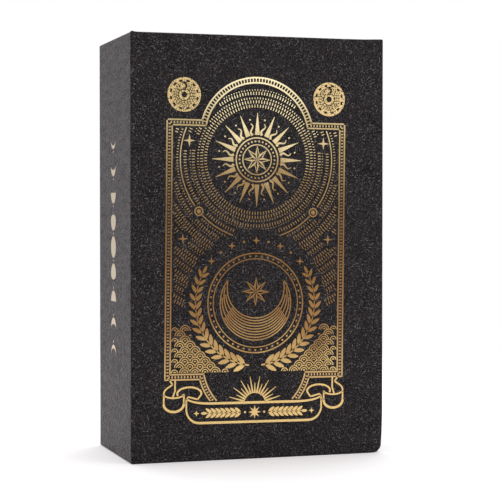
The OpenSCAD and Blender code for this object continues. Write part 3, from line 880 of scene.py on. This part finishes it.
fieldDraw = {
    "from": 16.0, "row": 1.3, "rows": 27, "pitch": 0.86, "width": (0.30, 0.21), "margin": 0.45, "gap": 0.6,
    "lengths": (0.95, 0.95, 0.55, 0.95, 0.35),   # dash length in one row after another
    "orbit": 24.4, "orbitLine": 0.34, "orbitGap": 0.1, "orbitSteps": 240,
    "planet": 1.5, "planetLine": 0.4, "planetCore": 0.675, "planetAngles": (221, 319),
    "sparkles": [(-21.6, 97.4, 2.0), (21.6, 97.4, 2.0), (-23.4, 67.6, 1.7), (23.4, 67.6, 1.7)],
    "sparkleWaist": 0.24,
}
waveDraw = {
    "radius": 1.6, "rows": 9, "inner": (1.0, 0.6, 0.2), "line": 0.3, "chord": 0.5, "lift": 0.25, "gap": 0.2,
}
fanDraw = {
    "centre": (0, 16.9), "rays": 15, "from": 16, "sweep": 148,
    "foot": 3.4, "tip": 8.6, "shortTip": 6.6, "ray": (0.6, 0.16),
}


def insideFrame(spot, inset):
    x, y = spot
    if y < frameDraw["bannerHead"] + inset:
        return False
    inBox = abs(x) < frameHalf - inset and frameFoot + inset < y < frameHead - inset
    inArch = min(math.hypot(x, y - archTop), math.hypot(x, y - archFoot)) < frameDraw["archRadius"] - inset
    return inBox or inArch


def planetSpots():
    return [polar(sunDraw["centre"], fieldDraw["orbit"], angle) for angle in fieldDraw["planetAngles"]]


def clearOfMotifs(place, gap):
    # the ground pattern keeps off the wreath's circle, the fan, the planets and the sparkles
    wreathRoom = wreathDraw["radius"] + wreathDraw["room"]
    motifs = [(moonDraw["centre"], wreathRoom), (fanDraw["centre"], fanDraw["tip"])]
    motifs += [(spot, fieldDraw["planet"]) for spot in planetSpots()]
    motifs += [((x, y), size) for x, y, size in fieldDraw["sparkles"]]
    return all((Vector(place) - Vector(centre)).length > room + gap for centre, room in motifs)


def drawFacetStar(bm, centre, outer, inner, tips, line=0.28):
    # each point has one solid half and one half in outline
    step = 360 / tips
    for i in range(tips):
        angle = 90 + i * step
        tip = polar(centre, outer, angle)
        corners = (centre, tip, polar(centre, inner, angle + step / 2))
        for vert, corner in zip(drawDisc(bm, (0, 0), 1.0, 3), corners):
            vert.co = (*corner, 0)
        drawStroke(bm, [tip, polar(centre, inner, angle - step / 2)], line)


def drawEngravedCrescent(bm, d):
    # nested lines between the disc's rim and the bite, fewer of them towards the horns
    radius, shift, bite, steps = d["radius"], d["shift"], d["bite"], d["lineSteps"]
    meet = math.acos((radius ** 2 + shift ** 2 - bite ** 2) / (2 * radius * shift))
    biteMeet = math.atan2(radius * math.sin(meet), radius * math.cos(meet) - shift)
    last = d["lines"] - 1
    for line in range(d["lines"]):
        share = line / last
        path = []
        for i in range(steps + 1):
            outer = meet + (math.tau - 2 * meet) * i / steps
            inner = biteMeet + (math.tau - 2 * biteMeet) * i / steps
            rim = Vector((math.cos(outer), math.sin(outer))) * radius
            cut = Vector((shift + bite * math.cos(inner), bite * math.sin(inner)))
            spot = rim.lerp(cut, share)
            spacing = (rim - cut).length * (line & -line) / last
            if line in (0, last) or spacing > d["lineRoom"]:
                path.append(Vector(d["centre"]) + Vector((-spot.y, spot.x)))
        drawStroke(bm, path, d["line"])


def drawSun(bm):
    d = sunDraw
    centre, foot = d["centre"], d["rayFoot"]
    drawRing(bm, centre, d["ring"], d["ringLine"])
    drawRing(bm, centre, d["disc"], d["discLine"])
    drawBeadRing(bm, centre, (d["ring"] + d["disc"]) / 2, d["beads"], d["bead"])
    drawFacetStar(bm, centre, *d["star"])
    turn = 180 / d["rays"]
    for i in range(d["rays"]):
        angle = 2 * turn * i
        drawStroke(bm, [polar(centre, reach, angle) for reach in (foot, d["rayTip"])], *d["ray"])
        flame = []
        for step in range(d["flameSteps"] + 1):
            share = step / d["flameSteps"]
            sway = d["flameSway"] * math.sin(math.tau * share)
            flame.append(polar(centre, foot + (d["flameTip"] - foot) * share, angle + turn + sway))
        drawStroke(bm, flame, *d["flame"])
        drawDisc(bm, polar(centre, d["dotPlace"], angle + turn), d["dot"], beadSides)


def drawField(bm):
    d = fieldDraw
    margin = d["margin"]
    for row in range(d["rows"]):
        radius = d["from"] + row * d["row"]
        length = d["lengths"][row % len(d["lengths"])]
        if radius - margin < d["orbit"] < radius + length + margin:
            continue
        count = round(math.tau * radius / d["pitch"])
        for i in range(count):
            angle = 90 + (i + 0.5 * (row % 2)) * 360 / count
            ends = [polar(sunDraw["centre"], r, angle) for r in (radius, radius + length)]
            if all(insideFrame(e, borderWidth + margin) and clearOfMotifs(e, d["gap"]) for e in ends):
                drawStroke(bm, ends, *d["width"])


def drawOrbit(bm):
    # the orbit is broken where the frame or another motif is in its way
    d = fieldDraw
    steps = d["orbitSteps"]
    run = []
    for step in range(steps + 1):
        spot = polar(sunDraw["centre"], d["orbit"], 90 + step * 360 / steps)
        free = insideFrame(spot, borderWidth) and clearOfMotifs(spot, d["orbitGap"])
        if free:
            run.append(spot)
        if not free or step == steps:
            if len(run) > 2:
                drawStroke(bm, run, d["orbitLine"])
            run = []
    for spot in planetSpots():
        drawRing(bm, spot, d["planet"] - d["planetLine"] / 2, d["planetLine"])
        drawDisc(bm, spot, d["planetCore"])
    for x, y, size in d["sparkles"]:
        drawStar(bm, (x, y), size, size * d["sparkleWaist"], 4)


def drawMoon(bm):
    d = moonDraw
    centre, ring, gap = d["centre"], d["ring"], d["ringGap"]
    drawEngravedCrescent(bm, d)
    drawFacetStar(bm, polar(centre, d["starRise"], 90), *d["star"])
    for radius, width in zip((ring, ring - gap), d["ringLines"]):
        drawRing(bm, centre, radius, width)
    drawBeadRing(bm, centre, ring - gap / 2, d["beads"], d["bead"])
    for step in range(d["crown"]):
        spot = polar(centre, wreathDraw["radius"], d["crownFrom"] + step * d["crownStep"])
        if step % 2:
            drawDisc(bm, spot, d["crownDot"], dotSides)
        else:
            drawStar(bm, spot, *d["crownStar"])


def drawWreath(bm):
    d = wreathDraw
    centre = moonDraw["centre"]
    for side in (-1, 1):
        stem = [polar(centre, d["radius"], a) for a in range(int(d["from"]), int(d["to"]) + 1, d["stemStep"])]
        drawStroke(bm, [(side * p.x, p.y) for p in stem], *d["stem"])
        for i in range(d["leaves"] + 1):
            share = (i + 0.5) / d["leaves"]
            angle = min(d["from"] + (d["to"] - d["from"]) * share, d["to"])
            foot = polar(centre, d["radius"], angle)
            size = 1.0 - d["shrink"] * share
            for lean in (0,) if i == d["leaves"] else (-d["lean"], d["lean"]):
                turn = angle + 90 + lean
                drawLeaf(bm, (side * foot.x, foot.y), d["leafLength"] * size, d["leafWidth"] * size,
                         turn if side > 0 else 180 - turn)


def drawWaves(bm):
    # rows of scales fill the lower corners, each row half a scale aside from the one below
    d = waveDraw
    radius, gap = d["radius"], d["gap"]
    columns = math.ceil(frameHalf / radius)
    for row in range(d["rows"]):
        level = frameFoot + borderWidth + d["lift"] + row * radius
        for column in range(-columns, columns + 1):
            middle = ((2 * column + row % 2) * radius, level)
            for share in d["inner"]:
                path = arcPath(middle, radius * share, radius * share, 0, 180, d["chord"])
                if all(insideFrame(p, borderWidth + gap) and clearOfMotifs(p, gap) for p in path):
                    drawStroke(bm, path, d["line"])


def drawFan(bm):
    d = fanDraw
    for step in range(d["rays"]):
        angle = d["from"] + step * d["sweep"] / (d["rays"] - 1)
        tip = d["shortTip"] if step % 2 else d["tip"]
        drawStroke(bm, [polar(d["centre"], reach, angle) for reach in (d["foot"], tip)], *d["ray"])


emblemDraws = [drawSun, drawField, drawOrbit, drawMoon, drawWreath, drawWaves, drawFan]
stampFoil("foilEmblem", "foil_emblem", emblemDraws)

sideDraw = {
    "moon": 3.35, "pitch": 8.5, "dot": 0.38,
    "phases": (0.5, 0.0, -0.4, -0.66),     # bulge of the moons from the middle one outwards
}


def drawSidePrint(bm):
    # the moon's phases, full in the middle and waning towards both ends
    d = sideDraw
    drawMoonPhase(bm, (0, 0), d["moon"], 1.0, 0)
    for side in (-1, 1):
        for step, bulge in enumerate(d["phases"]):
            level = side * (step + 1) * d["pitch"]
            drawMoonPhase(bm, (0, level), d["moon"], bulge, side * 90)
            drawDisc(bm, (0, level - side * d["pitch"] / 2), d["dot"], dotSides)


stampFoil("foilSpine", "foil_spine", [drawSidePrint], sideFoil, sideMatrix)
print("foil stamped")


# tray, booklet and cards keep their solids and get their finishes

finishes = {
    "tray_board": stocks["greyBoard"],
    "tray_corner_stays": stocks["kraftStay"],
    "tray_wrap": fibrePaper,
    "tray_lining": stocks["liningPaper"],
    "booklet_front_cover": stocks["coverStock"],
    "booklet_back_cover": stocks["coverStock"],
    "booklet_pages": stocks["pagePaper"],
    "booklet_staples": stapleWire,
}
for node, material in finishes.items():
    dressNode(node, material)

suitPetals = {"suit_wands": 5, "suit_cups": 6, "suit_swords": 7, "suit_pentacles": 8}
suitRings = 5
trumpPetals, trumpRings = range(8, 17), range(4, 7)   # taken in turn, from card to card
for node, petals in suitPetals.items():
    dressNode(node, makeCardPrint(node, petals, suitRings))
for index, node in enumerate(sorted(n for n in cadNodes if n.startswith("trump_"))):
    counts = [numbers[index % len(numbers)] for numbers in (trumpPetals, trumpRings)]
    dressNode(node, makeCardPrint(node, *counts))
print("tray, booklet and cards dressed")


# floor, light and camera

stageLook = {
    # the lift's slight lilac shows only where the floor is shaded, a painted tint of its shadows
    "floor": (0.95, 0.95, 0.95), "floorLift": (0.29, 0.272, 0.284), "floorSize": 6.0,
    "whiteSpan": (0.16, 0.42),   # distance from the box over which the floor turns plain white
    "world": 0.62, "worldFront": 0.63, "worldTurn": 0.5, "mirroredWorld": 1.0,
}


def rayKinds(tree):
    # whether a ray comes straight from the camera, and whether it was mirrored or let through
    rays = addNode(tree, "LightPath").outputs
    return rays["Is Camera Ray"], addMath(tree, "MAXIMUM", rays["Is Glossy Ray"], rays["Is Transmission Ray"])


def makeFloor():
    look = stageLook
    material, tree, _ = startMaterial("paleFloor")
    tree.nodes.clear()
    matt = addNode(tree, "BsdfDiffuse", look["floor"]).outputs[0]
    lift = addNode(tree, "Emission", look["floorLift"]).outputs[0]
    white = addNode(tree, "Emission").outputs[0]
    near = addNode(tree, "AddShader", matt, lift).outputs[0]
    distance = addVectorMath(tree, "LENGTH", addNode(tree, "TexCoord").outputs["Object"])
    away = addRange(tree, distance, *look["whiteSpan"])
    seen = addNode(tree, "MixShader", away, near, white).outputs[0]
    # the lift and the white are seen and mirrored, but give no diffuse light
    direct = addMath(tree, "MAXIMUM", *rayKinds(tree))
    mix = addNode(tree, "MixShader", direct, matt, seen).outputs[0]
    addNode(tree, "OutputMaterial", mix)
    bm = bmesh.new()
    bmesh.ops.create_grid(bm, x_segments=1, y_segments=1, size=look["floorSize"] / 2)
    floor = linkMesh("floor", bm, material)


def makeWorld():
    look = stageLook
    world = bpy.data.worlds.new("studio")
    bpy.context.scene.world = world
    world.use_nodes = True
    tree = world.node_tree
    _, ahead, _ = splitVector(tree, addNode(tree, "TexCoord").outputs["Generated"])
    # the room before and behind the box lights it, and the foil mirrors a brighter one
    level = addRange(tree, ahead, -look["worldTurn"], look["worldTurn"], look["worldFront"], look["world"])
    camera, mirrored = rayKinds(tree)
    level = addBlend(tree, mirrored, level, look["mirroredWorld"])
    setInputs(tree, tree.nodes["Background"], {
        "Color": (1.0, 1.0, 1.0),
        "Strength": addMath(tree, "MAXIMUM", level, camera),
    })


def aimObject(name, data, place, direction):
    thing = linkObject(name, data)
    thing.location = place
    thing.rotation_mode = "QUATERNION"
    thing.rotation_quaternion = Vector(direction).to_track_quat("-Z", "Y")
    return thing


lamps = {
    # place, size and power of each soft light, all aimed at the middle of the box
    "frontSoftbox": ((0.85, -0.90, 0.36), 0.90, 3.8),
    "topSoftbox": ((0.08, 0.35, 1.1), 0.80, 6.5),
}


def makeLamps():
    target = (lidLow + lidHigh) / 2
    for name, (place, size, power) in lamps.items():
        light = bpy.data.lights.new(name, "AREA")
        light.size = size
        light.energy = power
        aimObject(name, light, place, target - Vector(place))


cameraView = {
    "place": (-0.15316, -0.49062, 0.07564), "look": (0.3043, 0.9523, -0.0230),
    "lens": 115.6, "sensor": 36.0,
}


def makeCamera():
    data = bpy.data.cameras.new("camera")
    data.lens = cameraView["lens"]
    data.sensor_width = cameraView["sensor"]
    data.sensor_fit = "HORIZONTAL"
    bpy.context.scene.camera = aimObject("camera", data, cameraView["place"], cameraView["look"])


makeFloor()
makeWorld()
makeLamps()
makeCamera()
bpy.context.scene.view_settings.view_transform = "Standard"
print("stage set")
